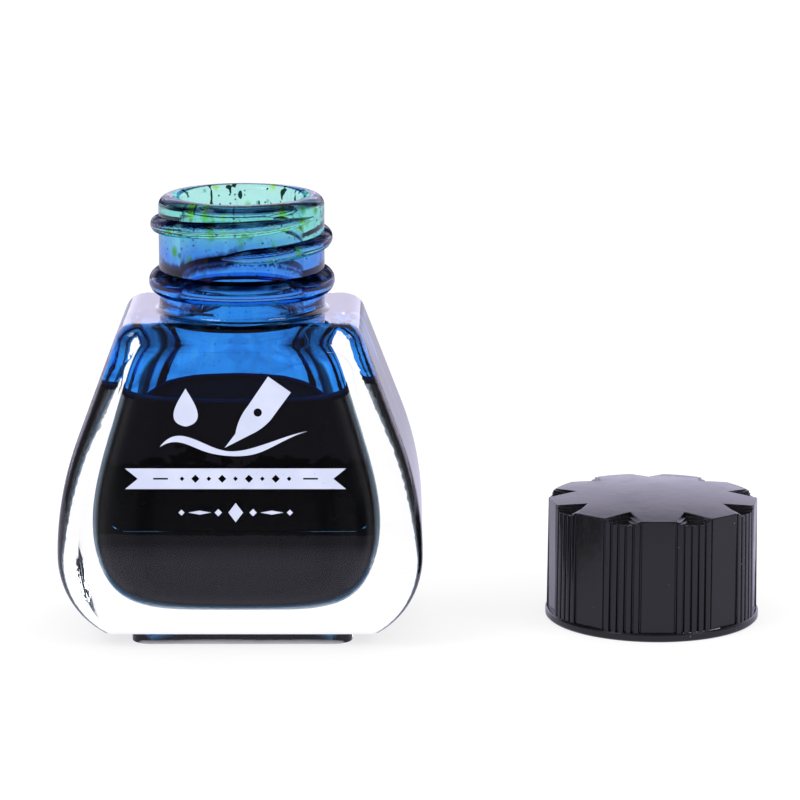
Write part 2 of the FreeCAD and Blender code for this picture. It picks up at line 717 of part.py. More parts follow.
def make_motif(doc, sheet):
    """A small ornament: a middle diamond between tapering dashes and dots."""
    sketch = printed(doc, "motif", sheet)
    middle, middle_wide, middle_high = MOTIF_MIDDLE
    add_outline(sketch, shifted(sheet, diamond(middle, MOTIF_UP, middle_wide, middle_high)))
    for side in (-1, 1):
        for across, wide, high in MOTIF_SIDE:
            add_outline(sketch, shifted(sheet, diamond(side * across, MOTIF_UP, wide, high)))
    motif = extrude(doc, "motif", sketch, cell("print_thick"))
    motif.Label = "motif_print"
    return motif


# ---------------------------------------------------------------- cap and liner

def pocket_up(body, name, sketch):
    pocket = body.newObject("PartDesign::Pocket", name)
    pocket.Profile = sketch
    pocket.Length = REACH
    pocket.Reversed = True
    return pocket


def body_sketch(body, name, height=None, role="XY_Plane"):
    sketch = body.newObject("Sketcher::SketchObject", name)
    plane = next(item for item in body.Origin.OriginFeatures if item.Role == role)
    sketch.AttachmentSupport = [(plane, "")]
    sketch.MapMode = "FlatFace"
    if height is not None:
        sketch.setExpression("AttachmentOffset.Base.z", height)
    return sketch


def cap_shell(body, sheet):
    """The turned shell: skirt with its ring, domed top, hollow and wider mouth."""
    sketch = body_sketch(body, "cap_outline", role="XZ_Plane")
    crown = sheet.cap_crown - sheet.cap_edge
    edge_radius = sheet.cap_high_radius - sheet.cap_edge_round
    dome_words = "((%s - %s) ^ 2 + (%s - %s) ^ 2) / (2 * (%s - %s))" % (
        cell("cap_high_radius"), cell("cap_edge_round"), cell("cap_crown"), cell("cap_edge"),
        cell("cap_crown"), cell("cap_edge"))
    dome = (edge_radius ** 2 + crown ** 2) / (2 * crown)
    ring = "cap_ring_height"
    # the mouth narrows to the hollow at 45 degrees
    step = ("cap_mouth_height", "cap_mouth_radius", "-cap_hollow_radius")
    corners = [
        (sized(sheet, "cap_mouth_radius"), sized(sheet, 0.0)),
        (sized(sheet, "cap_ring_radius", "-cap_foot_chamfer"), sized(sheet, 0.0)),
        (sized(sheet, "cap_ring_radius"), sized(sheet, "cap_foot_chamfer")),
        (sized(sheet, "cap_ring_radius"), sized(sheet, ring, "-cap_ring_fade")),
        (sized(sheet, "cap_low_radius"), sized(sheet, ring, "cap_ring_fade")),
        (sized(sheet, "cap_high_radius"), sized(sheet, "cap_edge", "-cap_edge_round")),
        (sized(sheet, "cap_high_radius", "-cap_edge_round"), sized(sheet, "cap_edge")),
        (sized(sheet, 0.0), sized(sheet, "cap_crown")),
        (sized(sheet, 0.0), sized(sheet, "cap_hollow_height")),
        (sized(sheet, "cap_hollow_radius"), sized(sheet, "cap_hollow_height")),
        (sized(sheet, "cap_hollow_radius"), sized(sheet, *step)),
        (sized(sheet, "cap_mouth_radius"), sized(sheet, "cap_mouth_height")),
    ]
    add_outline(sketch, corners, {
        5: (sized(sheet, "cap_edge_round"), 1),
        6: ((dome_words, dome), 1),
    })
    shell = body.newObject("PartDesign::Revolution", "cap_shell")
    shell.Profile = sketch
    shell.ReferenceAxis = (sketch, ["V_Axis"])
    shell.Angle = 360.0
    return shell


def notch_terraces(body, sheet):
    """Steps of one star notch: V shapes opening outwards, each shorter and deeper."""
    reach = sheet.cap_high_radius - sheet.notch_apex
    spread = math.atan2(sheet.notch_half_chord, reach)
    pockets = []
    for step in range(NOTCH_STEPS):
        bed = "%s - %s - %d * %s" % (
            cell("cap_edge"), cell("notch_first_sink"), step, cell("notch_next_sink"))
        sketch = body_sketch(body, "notch_%d_outline" % step, bed)
        inset = step * sheet.notch_step / math.sin(spread)
        apex = sized(sheet, "notch_apex", inset)
        far = sized(sheet, "notch_apex", inset, "notch_length")
        side = sheet.notch_length * math.tan(spread)
        angle = sheet.notch_turn
        add_outline(sketch, [
            turned(sheet, apex, sized(sheet, 0.0), angle),
            turned(sheet, far, sized(sheet, -side), angle),
            turned(sheet, far, sized(sheet, side), angle),
        ])
        pockets.append(pocket_up(body, "notch_%d" % step, sketch))
    return pockets


def ring_top():
    return "%s + %s" % (cell("cap_ring_height"), cell("cap_ring_fade"))


def grip_grooves(body, sheet):
    """The upright grooves below one notch."""
    sketch = body_sketch(body, "grip_outline", ring_top())
    for index in range(GROOVES):
        angle = sheet.notch_turn + (index - (GROOVES - 1) / 2) * GROOVE_SPACING
        bed = sized(sheet, "cap_high_radius", "-groove_depth")
        brink = sized(sheet, "cap_ring_radius", OVER)
        narrow = GROOVE_BED * sheet.groove_half_width
        broad = GROOVE_BRINK * sheet.groove_half_width
        add_outline(sketch, [
            turned(sheet, bed, sized(sheet, -narrow), angle),
            turned(sheet, brink, sized(sheet, -broad), angle),
            turned(sheet, brink, sized(sheet, broad), angle),
            turned(sheet, bed, sized(sheet, narrow), angle),
        ])
    return pocket_up(body, "grip_grooves", sketch)


def flat_land(body, sheet):
    """One of the flat facets between two groups of grooves."""
    sketch = body_sketch(body, "land_outline", ring_top())
    angle = sheet.notch_turn + 180.0 / STAR_POINTS
    near = sized(sheet, "cap_land")
    far = sized(sheet, "cap_land", 2 * OVER)
    half = sheet.cap_land_half
    add_outline(sketch, [
        turned(sheet, near, sized(sheet, -half), angle),
        turned(sheet, far, sized(sheet, -half - LAND_FLARE), angle),
        turned(sheet, far, sized(sheet, half + LAND_FLARE), angle),
        turned(sheet, near, sized(sheet, half), angle),
    ])
    return pocket_up(body, "flat_land", sketch)


def make_screw_cap(doc, sheet):
    body = doc.addObject("PartDesign::Body", "cap_blank")
    cap_shell(body, sheet)
    cutters = notch_terraces(body, sheet) + [grip_grooves(body, sheet), flat_land(body, sheet)]
    pattern = body.newObject("PartDesign::PolarPattern", "star_pattern")
    pattern.Originals = cutters
    axis = next(item for item in body.Origin.OriginFeatures if item.Role == "Z_Axis")
    pattern.Axis = (axis, [""])
    pattern.Angle = 360.0
    pattern.Occurrences = STAR_POINTS
    body.Tip = pattern
    # the closed cap's mouth sits one hollow, less its liner, below the rim
    closed_drop = sheet.cap_hollow_height - sheet.liner_gap - sheet.liner_thick - sheet.rim_height
    thread = thread_ridge(
        doc, "cap_thread", sheet, sheet.cap_hollow_radius, sheet.cap_thread_crest,
        sheet.cap_thread_half_width, closed_drop - sheet.thread_lead / 2,
        (sheet.cap_thread_first, sheet.cap_thread_last), (CAP_FADE, CAP_FADE))
    cap = boolean(doc, "Fuse", "cap", body, thread)
    cap.setExpression("Placement.Base.x", cell("cap_offset"))
    cap.setExpression("Placement.Base.y", cell("cap_behind"))
    cap.Label = "screw_cap"
    return cap


def make_cap_liner(doc, sheet):
    """The sealing disc that lies against the roof of the cap's hollow."""
    disc = doc.addObject("Part::Cylinder", "liner")
    disc.setExpression("Radius", cell("liner_radius"))
    disc.setExpression("Height", cell("liner_thick"))
    disc.setExpression("Placement.Base.x", cell("cap_offset"))
    disc.setExpression("Placement.Base.y", cell("cap_behind"))
    disc.setExpression("Placement.Base.z", "%s - %s - %s" % (
        cell("cap_hollow_height"), cell("liner_gap"), cell("liner_thick")))
    disc.Label = "cap_liner"
    return disc


# ---------------------------------------------------------------- checks and files

def check_document(doc, nodes):
    for item in doc.Objects:
        if "Invalid" in item.State or "Error" in item.State:
            raise RuntimeError("%s did not build: %s" % (item.Label, item.State))
    for node in nodes:
        shape = node.Shape
        if shape.isNull() or not shape.isValid() or not shape.Solids:
            raise RuntimeError("%s has no valid solid" % node.Label)


def write_parts(nodes):
    os.makedirs("parts", exist_ok=True)
    for node in nodes:
        node.Shape.exportStep(os.path.join("parts", node.Label + ".step"))
        print("%-14s %9.1f mm3, %d solid(s)" % (
            node.Label, node.Shape.Volume, len(node.Shape.Solids)))


def main():
    doc = FreeCAD.newDocument("ink_bottle")
    sheet = make_sheet(doc)
    builders = (make_glass_bottle, make_ink, make_emblem, make_banner, make_motif,
                make_screw_cap, make_cap_liner)
    nodes = [build(doc, sheet) for build in builders]
    doc.recompute()
    check_document(doc, nodes)
    write_parts(nodes)


main()
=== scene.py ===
import json
import math

import bpy
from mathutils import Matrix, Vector
from mathutils.bvhtree import BVHTree


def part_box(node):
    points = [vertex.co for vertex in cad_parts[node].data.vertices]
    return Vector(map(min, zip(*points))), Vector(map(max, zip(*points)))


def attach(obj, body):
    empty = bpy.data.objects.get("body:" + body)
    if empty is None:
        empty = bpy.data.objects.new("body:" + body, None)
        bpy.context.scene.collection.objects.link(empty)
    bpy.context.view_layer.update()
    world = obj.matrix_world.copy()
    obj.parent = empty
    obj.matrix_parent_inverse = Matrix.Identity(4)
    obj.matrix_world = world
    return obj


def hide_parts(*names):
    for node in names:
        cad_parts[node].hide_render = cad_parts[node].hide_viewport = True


# Looks of the ink bottle around its fixed CAD frame. Lengths are metres, +Z is up and -Y is the
# printed front. Every material is procedural and placed in the frame's own metres, so a noise
# scale is in cycles per metre, and a drop's or a band's place is a height or an offset in space.

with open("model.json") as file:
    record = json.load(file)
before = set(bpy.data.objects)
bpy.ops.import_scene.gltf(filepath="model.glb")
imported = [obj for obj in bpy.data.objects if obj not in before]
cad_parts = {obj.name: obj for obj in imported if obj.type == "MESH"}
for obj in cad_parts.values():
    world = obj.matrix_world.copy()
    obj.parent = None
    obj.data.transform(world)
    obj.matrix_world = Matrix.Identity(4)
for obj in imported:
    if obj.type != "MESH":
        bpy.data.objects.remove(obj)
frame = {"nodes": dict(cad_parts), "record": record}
nodes = frame["nodes"]
bpy.context.view_layer.update()

MM = 0.001
GLASS_IOR = 1.5
INK_IOR = 1.34
PLASTIC_IOR = 1.5

# places that the materials use, worked out from the frame
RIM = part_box("glass_bottle")[1].z
INK_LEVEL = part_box("ink")[1].z
CAP_LOW, CAP_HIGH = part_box("screw_cap")
CAP_MIDDLE = (CAP_LOW + CAP_HIGH) / 2
CAP_RING = CAP_LOW.z + 1.3 * MM    # top of the ring round the cap's mouth, where the grooves end
MOUTH = next(mount for mount in frame["record"]["mounts"] if mount["name"] == "mouth_bore")
BORE_RADIUS = MOUTH["dims"]["r_mm"] * MM
BEAD_FOOT = RIM - 16.0 * MM        # where the neck's bead ends and the shoulder begins


# ---------------------------------------------------------------- node helpers

class Shader:
    """Adds nodes to a tree by name. Any value given may be a socket, a node or a plain value."""

    def __init__(self, tree):
        self.tree = tree
        tree.nodes.clear()

    def add(self, kind, settings=None, inputs=None):
        node = self.tree.nodes.new("ShaderNode" + kind)
        for name, value in (settings or {}).items():
            setattr(node, name, value)
        for name, value in (inputs or {}).items():
            self.plug(node.inputs[name], value)
        return node

    def plug(self, socket, value):
        if isinstance(value, bpy.types.NodeSocket):
            self.tree.links.new(value, socket)
        elif isinstance(value, bpy.types.Node):
            self.tree.links.new(value.outputs[0], socket)
        elif isinstance(value, tuple) and len(value) == 3 and socket.type == "RGBA":
            socket.default_value = (*value, 1.0)
        else:
            socket.default_value = value

    def math(self, operation, *values, clamp=False):
        node = self.add("Math", {"operation": operation, "use_clamp": clamp})
        for socket, value in zip(node.inputs, values):
            self.plug(socket, value)
        return node.outputs[0]

    def times(self, first, *others):
        for other in others:
            first = self.math("MULTIPLY", first, other)
        return first

    def vector(self, operation, *values, output="Vector"):
        node = self.add("VectorMath", {"operation": operation})
        for socket, value in zip(node.inputs, values):
            self.plug(socket, value)
        return node.outputs[output]

    def scaled(self, vector, factor):
        return self.add("VectorMath", {"operation": "SCALE"},
                        {0: vector, "Scale": factor}).outputs["Vector"]

    def ramp(self, value, low, high, start=0.0, end=1.0, smooth=True):
        """Runs from start to end as the value goes from low to high, held flat outside."""
        kind = "SMOOTHSTEP" if smooth else "LINEAR"
        node = self.add("MapRange", {"interpolation_type": kind, "clamp": True})
        for name, given in (("Value", value), ("From Min", low), ("From Max", high),
                            ("To Min", start), ("To Max", end)):
            self.plug(node.inputs[name], given)
        return node.outputs[0]

    def mix(self, share, first, second, blend="MIX"):
        node = self.add("Mix", {"data_type": "RGBA", "blend_type": blend, "clamp_factor": True})
        for socket, value in zip((node.inputs[0], node.inputs[6], node.inputs[7]),
                                 (share, first, second)):
            self.plug(socket, value)
        return node.outputs[2]

    def noise(self, place, scale, detail=2.0, roughness=0.5):
        node = self.add("TexNoise", {}, {"Vector": place, "Scale": scale, "Detail": detail,
                                         "Roughness": roughness})
        return node.outputs[0]

    def cells(self, place, scale):
        """Distance to the nearest of many scattered points, and a colour for each of them."""
        node = self.add("TexVoronoi", {}, {"Vector": place, "Scale": scale, "Randomness": 1.0})
        return node.outputs["Distance"], node.outputs["Color"]

    def stretched(self, place, x, y, z, shift=(0.0, 0.0, 0.0)):
        """Places for a texture of scale 1, so that x, y and z are its own three scales."""
        node = self.add("Mapping", {}, {"Vector": place, "Scale": (x, y, z), "Location": shift})
        return node.outputs[0]

    def place(self):
        """The shading point in the frame's own metres."""
        return self.add("TexCoord").outputs["Object"]

    def parts(self, vector):
        return self.add("SeparateXYZ", {}, {0: vector}).outputs

    def bump(self, height, depth):
        """A bumped normal; height runs from 0 to 1 and depth is its real size."""
        node = self.add("Bump", {}, {"Height": height, "Distance": depth, "Strength": 1.0})
        return node.outputs[0]

    def finish(self, surface):
        self.plug(self.add("OutputMaterial").inputs["Surface"], surface)


def material(name):
    made = bpy.data.materials.new(name)
    made.use_nodes = True
    return made, Shader(made.node_tree)


def dress(name, made):
    """Give every slot of a CAD node the same material."""
    for slot in nodes[name].material_slots:
        slot.material = made


# ---------------------------------------------------------------- patterns

def spots(s, place, scale, tall, share, low=0.12, high=0.30, shift=(0.0, 0.0, 0.0)):
    """Scattered drops on a share of their cells, with three random tones for each.

    There are scale cells to the metre, tall times as high as they are wide. A drop fades out
    between low and high, in cell widths from its middle.
    """
    gap, colour = s.cells(s.stretched(place, scale, scale, scale / tall, shift), 1.0)
    tones = s.parts(colour)
    kept = s.math("LESS_THAN", tones[0], share)
    return s.times(s.ramp(gap, low, high, 1.0, 0.0), kept), tones


def band(s, value, middle, half, fade):
    """1 while a value is within half of a middle, fading out beyond."""
    off = s.math("ABSOLUTE", s.math("SUBTRACT", value, middle))
    return s.ramp(off, half, half + fade, 1.0, 0.0)


# ---------------------------------------------------------------- ink film on the glass

def inner_wall(s, place):
    """1 on the walls of the chamber and the bore, 0 outside; and the normal out of the glass.

    A wall is an inner one if it faces the axis, or if it is a ceiling near the axis, above the
    ink.
    """
    geometry = s.add("NewGeometry").outputs
    flip = s.math("MULTIPLY_ADD", geometry["Backfacing"], -2.0, 1.0)
    outward = s.scaled(geometry["True Normal"], flip)
    normal = s.parts(outward)
    from_axis = s.vector("MULTIPLY", place, (1.0, 1.0, 0.0))
    away = s.vector("DOT_PRODUCT", outward, s.vector("NORMALIZE", from_axis), output="Value")
    turned_in = s.math("LESS_THAN", away, -0.02)
    ceiling = s.times(s.math("LESS_THAN", normal[2], -0.5),
                      s.math("GREATER_THAN", s.parts(place)[2], INK_LEVEL))
    near_axis = s.math("LESS_THAN", s.vector("LENGTH", from_axis, output="Value"),
                       BORE_RADIUS * 1.9)
    return s.math("MAXIMUM", turned_in, s.times(ceiling, near_axis)), normal


def draining_colour(s, place, down, runs):
    """Turquoise at the lip, sky blue in the neck and full blue in the chamber, with runs."""
    clouds = s.noise(s.stretched(place, 90.0, 90.0, 120.0), 1.0, 2.0)
    wander = s.times(s.math("SUBTRACT", clouds, 0.5), 7.0 * MM)
    depth = s.math("ADD", down, wander)
    neck = s.mix(s.ramp(depth, 3.5 * MM, 9.5 * MM), (0.44, 0.81, 0.77), (0.21, 0.48, 0.87))
    film = s.mix(s.ramp(depth, 11.0 * MM, 18.0 * MM), neck, (0.15, 0.50, 0.91))
    film = s.mix(s.ramp(runs, 0.52, 0.78, 0.0, 0.40), film, (0.12, 0.38, 0.80))
    return s.mix(s.ramp(runs, 0.48, 0.22, 0.0, 0.30), film, (0.52, 0.86, 0.97))


def with_painted_swirls(s, film, place, down):
    """Faint dark blue swirl loops painted on the chamber's shoulders, standing in for the loops
    that refraction in the curved shoulders shows.
    """
    swirl = s.noise(s.stretched(place, 55.0, 55.0, 95.0, (0.3, 0.1, 0.7)), 1.0, 2.5, 0.5)
    loop = s.ramp(s.math("ABSOLUTE", s.math("SUBTRACT", swirl, 0.52)), 0.0, 0.035, 1.0, 0.0)
    chamber = s.ramp(down, 17.5 * MM, 20.0 * MM)
    # painted refraction: darker blue along the loops
    return s.mix(s.times(loop, chamber, 0.25), film, (0.03, 0.10, 0.40))


def with_drops(s, film, place, down):
    """Green and yellow drops high in the mouth, teal ones below, fine dark specks all over."""
    drops, tones = spots(s, place, 430.0, 1.4, 0.62, 0.14, 0.42)
    drops = s.times(drops, s.ramp(down, 8.0 * MM, 11.5 * MM, 1.0, 0.0))
    green = s.mix(tones[1], (0.05, 0.38, 0.08), (0.42, 0.86, 0.05))
    film = s.mix(s.times(drops, 0.85), film, green)

    teal, _ = spots(s, place, 620.0, 1.2, 0.40, shift=(5.0, 2.0, 1.0))
    teal = s.times(teal, s.ramp(down, 12.0 * MM, 17.0 * MM, 1.0, 0.12))
    film = s.mix(s.times(teal, 0.65), film, (0.04, 0.30, 0.30))

    specks, _ = spots(s, place, 1300.0, 1.0, 0.34, shift=(3.0, 1.0, 2.0))
    specks = s.times(specks, s.ramp(down, 2.0 * MM, 20.0 * MM, 1.0, 0.25))
    return s.mix(s.times(specks, 0.9), film, (0.01, 0.05, 0.08))


def with_drips(s, film, place, down):
    """Short black drips at the back of the mouth."""
    drip = s.ramp(s.noise(s.stretched(place, 900.0, 900.0, 380.0), 1.0, 1.0), 0.64, 0.67)
    back = s.ramp(s.parts(place)[1], 2.0 * MM, 5.0 * MM)
    high = s.ramp(down, 3.0 * MM, 5.0 * MM, 1.0, 0.0)
    return s.mix(s.times(drip, back, high), film, (0.01, 0.04, 0.03))


def with_smear(s, film, place, runs):
    """A violet-brown smear that climbs from the left to the middle of the neck's front."""
    x, y, height = s.parts(place)
    rise = s.math("MULTIPLY_ADD", x, 0.42, RIM - 7.3 * MM)
    ragged = s.times(s.math("SUBTRACT", runs, 0.5), 3.0 * MM)
    above = s.math("SUBTRACT", height, s.math("ADD", rise, ragged))
    smear = s.times(band(s, above, 0.0, 0.7 * MM, 0.9 * MM), s.math("LESS_THAN", y, 0.0),
                    s.ramp(x, 1.0 * MM, -1.5 * MM))
    return s.mix(s.times(smear, 0.85), film, (0.06, 0.05, 0.16))


def with_dried_line(s, film, place):
    """A torn line of dried ink just above the bead."""
    tear = s.noise(s.stretched(place, 700.0, 700.0, 200.0), 1.0, 4.0, 0.7)
    line = s.math("MULTIPLY_ADD", tear, 2.6 * MM, RIM - 13.6 * MM)
    above = s.math("SUBTRACT", s.parts(place)[2], line)
    dried = s.times(band(s, above, 0.0, 0.14 * MM, 0.25 * MM), s.ramp(tear, 0.40, 0.48))
    return s.mix(s.times(dried, 0.9), film, (0.01, 0.02, 0.08))


def ink_film(s, place, normal_up):
    """The colour that the dried and draining ink gives to the inner walls, with painted shade
    under the chamber's ceiling.
    """
    height = s.parts(place)[2]
    down = s.math("SUBTRACT", RIM, height)
    runs = s.noise(s.stretched(place, 420.0, 420.0, 45.0), 1.0, 3.0, 0.6)
    film = draining_colour(s, place, down, runs)
    film = with_painted_swirls(s, film, place, down)
    film = with_drops(s, film, place, down)
    film = with_drips(s, film, place, down)
    film = with_smear(s, film, place, runs)
    film = with_dried_line(s, film, place)
    # painted shade: nearly black where the chamber's ceiling faces down, below the shoulder
    ceiling = s.times(s.ramp(normal_up, -0.35, -0.75),
                      s.ramp(height, BEAD_FOOT, BEAD_FOOT - 2.0 * MM))
    return s.mix(s.times(ceiling, 0.92), film, (0.005, 0.02, 0.07))


# ---------------------------------------------------------------- glass

def neck_flank_painted_shade(s, body, place, normal_up):
    """Painted shade, in patches, on the upper flanks and undersides of the lip, the thread and
    the bead: the dark bands along the neck's ridges.
    """
    height = s.parts(place)[2]
    lip_top = s.times(s.ramp(normal_up, 0.55, 0.90),
                      s.ramp(height, RIM - 2.0 * MM, RIM - 1.0 * MM, 0.0, 0.45))
    flank = s.math("SUBTRACT", s.ramp(normal_up, 0.18, 0.48), lip_top)
    under = s.ramp(normal_up, -0.60, -0.92, 0.0, 0.7)
    patches = s.noise(s.stretched(place, 300.0, 300.0, 500.0), 1.0, 2.0)
    # painted shade: darker on the upper flanks and undersides, fading out at the bead's foot
    flank_shade = s.times(s.math("MAXIMUM", flank, under), s.ramp(patches, 0.25, 0.6, 0.55, 1.0),
                      s.ramp(height, BEAD_FOOT + 0.4 * MM, BEAD_FOOT + 1.0 * MM))
    return s.mix(flank_shade, body, (0.012, 0.02, 0.05))


def clear_glass():
    """Glass by its refraction and its mirror parts, so that the ink film tints both.

    A ray that turns back inside the wall passes the film twice, like one that goes through the
    front film and the back film.
    """
    made, s = material("pressed_clear_glass")
    place = s.place()
    inside, normal_parts = inner_wall(s, place)
    film = ink_film(s, place, normal_parts[2])
    film_twice = s.mix(1.0, film, film, "MULTIPLY")
    seeds, _ = spots(s, place, 260.0, 1.0, 0.06, 0.03, 0.05)
    body = s.mix(seeds, (0.995, 0.995, 1.0), (0.70, 0.72, 0.76))
    # painted shade on the flanks of the neck's ridges
    body = neck_flank_painted_shade(s, body, place, normal_parts[2])

    waves = s.noise(s.stretched(place, 60.0, 60.0, 32.0), 1.0, 1.5, 0.4)
    ripple = s.noise(place, 420.0, 1.0, 0.4)
    normal = s.bump(s.math("ADD", waves, s.times(ripple, 0.06)), 0.10 * MM)
    through = s.add("BsdfRefraction", {}, {"Color": s.mix(inside, body, film), "IOR": GLASS_IOR,
                                           "Roughness": 0.0, "Normal": normal})
    mirror = s.add("BsdfGlossy", {}, {"Color": s.mix(inside, body, film_twice),
                                      "Roughness": 0.0, "Normal": normal})
    share = s.add("Fresnel", {}, {"IOR": GLASS_IOR, "Normal": normal})
    s.finish(s.add("MixShader", {}, {0: share, 1: through, 2: mirror}))
    return made


# ---------------------------------------------------------------- ink

INK_TURNS = 192        # points round the ink's body
BOWL_RINGS = 40        # rings from the middle of the floor up to the belly
WALL_RINGS = 48        # rings from the belly up to the meniscus
SURFACE_RINGS = 26     # rings of the free surface, from the wall to the middle
CROWDING = 1.8         # exponent that crowds those rings towards the wall
CONTACT = 0.10 * MM    # how far the ink reaches into the glass, so that no air shows between them
BELLY = 14.0 * MM      # height of the point from which the bowl's rings are cast
MENISCUS = 0.9 * MM    # how high the ink climbs at the wall
MENISCUS_FALL = 0.5 * MM    # how far from the wall that climb drops to about a third


def on_axis(height):
    return Vector((0.0, 0.0, height))


def cast_ring(glass, origin, lift):
    """Points just inside the glass all round, on rays from origin that rise by an angle, lift."""
    ring = []
    for turn in range(INK_TURNS):
        angle = 2 * math.pi * turn / INK_TURNS
        level = Vector((math.cos(angle), math.sin(angle), 0.0))
        direction = level * math.cos(lift) + on_axis(math.sin(lift))
        hit = glass.ray_cast(origin, direction)[0]
        ring.append(hit + direction * CONTACT)
    return ring


def surface_ring(wall, index):
    """A ring of the free surface: the wall's ring drawn towards the axis, lower further in."""
    inward = (index / SURFACE_RINGS) ** CROWDING
    share = 1 - inward
    ring = []
    for point in wall:
        from_wall = math.hypot(point.x, point.y) * inward
        rise = MENISCUS * math.exp(-from_wall / MENISCUS_FALL)
        ring.append(Vector((point.x * share, point.y * share, INK_LEVEL + rise)))
    return ring


def ink_body():
    """The liquid, cast onto the glass from inside, with a meniscus where it meets the wall."""
    mesh = nodes["glass_bottle"].data
    glass = BVHTree.FromPolygons([vertex.co for vertex in mesh.vertices],
                                 [tuple(polygon.vertices) for polygon in mesh.polygons])
    belly = on_axis(BELLY)
    climb = INK_LEVEL + MENISCUS - BELLY
    rings = [cast_ring(glass, belly, -math.pi / 2 * (1 - index / BOWL_RINGS))
             for index in range(1, BOWL_RINGS + 1)]
    rings += [cast_ring(glass, on_axis(BELLY + climb * index / WALL_RINGS), 0.0)
              for index in range(1, WALL_RINGS + 1)]
    wall = rings[-1]
    rings += [surface_ring(wall, index) for index in range(1, SURFACE_RINGS)]

    # the rings one after another, then the middles of the floor and of the free surface
    verts = [point for ring in rings for point in ring]
    bottom, top = len(verts), len(verts) + 1
    verts.append(glass.ray_cast(belly, on_axis(-1))[0] - on_axis(CONTACT))
    verts.append(on_axis(INK_LEVEL))
    last = bottom - INK_TURNS
    faces = []
    for turn in range(INK_TURNS):
        after = (turn + 1) % INK_TURNS
        for start in range(0, last, INK_TURNS):
            faces.append((start + turn, start + after, start + INK_TURNS + after,
                          start + INK_TURNS + turn))
        faces.append((after, turn, bottom))
        faces.append((last + turn, last + after, top))
    mesh = bpy.data.meshes.new("ink_body")
    mesh.from_pydata(verts, [], faces)
    mesh.validate()
    mesh.shade_smooth()
    body = bpy.data.objects.new("ink_body", mesh)
    bpy.context.scene.collection.objects.link(body)
    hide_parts("ink")
    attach(body, "bottle")
    return body


def blue_ink():
    """Nearly black, with a blue meniscus and a painted blue rim light where its wall turns away.

    The wall lies against glass and the free surface against air, so their refractive steps
    differ; the free surface is kept from mirroring the room.
    """
    made, s = material("blue_black_ink")
    place = s.place()
    height = s.parts(place)[2]
    clouds = s.noise(place, 180.0, 3.0)
    settle = s.noise(place, 900.0, 1.0)
    upward = s.parts(s.add("NewGeometry").outputs["Normal"])[2]
    free = s.times(s.math("GREATER_THAN", upward, 0.25),
                   s.math("GREATER_THAN", height, INK_LEVEL - 0.2 * MM))

    deep = s.mix(s.ramp(clouds, 0.35, 0.7), (0.0004, 0.0008, 0.002), (0.0007, 0.0014, 0.004))
    meniscus = s.ramp(height, INK_LEVEL + 0.12 * MM, INK_LEVEL + MENISCUS)
    colour = s.mix(meniscus, deep, (0.004, 0.035, 0.19))
    # painted rim light: the wall turns blue where it faces away from the view
    facing = s.add("LayerWeight", {}, {"Blend": 0.5}).outputs["Facing"]
    painted_blue_rim = s.math("SUBTRACT", s.ramp(facing, 0.62, 0.97), free, clamp=True)
    colour = s.mix(painted_blue_rim, colour, (0.08, 0.32, 0.62))
    s.finish(s.add("BsdfPrincipled", {}, {
        "Base Color": colour,
        "Roughness": s.ramp(settle, 0.3, 0.7, 0.16, 0.24),
        "IOR": s.ramp(free, 0.0, 1.0, GLASS_IOR / INK_IOR, INK_IOR, smooth=False),
        "Specular IOR Level": s.ramp(free, 0.0, 1.0, 0.5, 0.0003, smooth=False),
        "Normal": s.bump(clouds, 0.01 * MM)}))
    return made


# ---------------------------------------------------------------- print, cap and liner

def print_enamel():
    """Pale lavender enamel, slightly patchy, with a few pinholes."""
    made, s = material("pale_print_enamel")
    place = s.place()
    grain = s.noise(place, 2600.0, 3.0, 0.6)
    patches = s.noise(place, 260.0, 2.0)
    tone = s.mix(s.ramp(patches, 0.3, 0.7), (0.56, 0.60, 0.78), (0.62, 0.66, 0.84))
    gap, colour = s.cells(place, 1500.0)
    pinhole = s.times(s.ramp(gap, 0.06, 0.16, 1.0, 0.0),
                      s.math("GREATER_THAN", s.parts(colour)[0], 0.93))
    tone = s.mix(s.times(pinhole, 0.55), tone, (0.10, 0.11, 0.18))
    s.finish(s.add("BsdfPrincipled", {}, {
        "Base Color": tone, "Roughness": s.ramp(grain, 0.3, 0.7, 0.42, 0.62), "IOR": 1.45,
        "Normal": s.bump(grain, 0.012 * MM)}))
    return made


def groove_foot_painted_highlight(s, place, upward):
    """1 on the flat feet of one group of the cap's grooves, at its front right, where a highlight
    is painted.
    """
    x, y, height = s.parts(place)
    level = s.math("GREATER_THAN", upward, 0.9)
    foot = band(s, height, CAP_RING, 0.15 * MM, 0.05 * MM)
    group = band(s, x, CAP_MIDDLE.x + 6.7 * MM, 2.9 * MM, 0.1 * MM)
    return s.times(level, foot, group, s.math("LESS_THAN", y, CAP_MIDDLE.y))


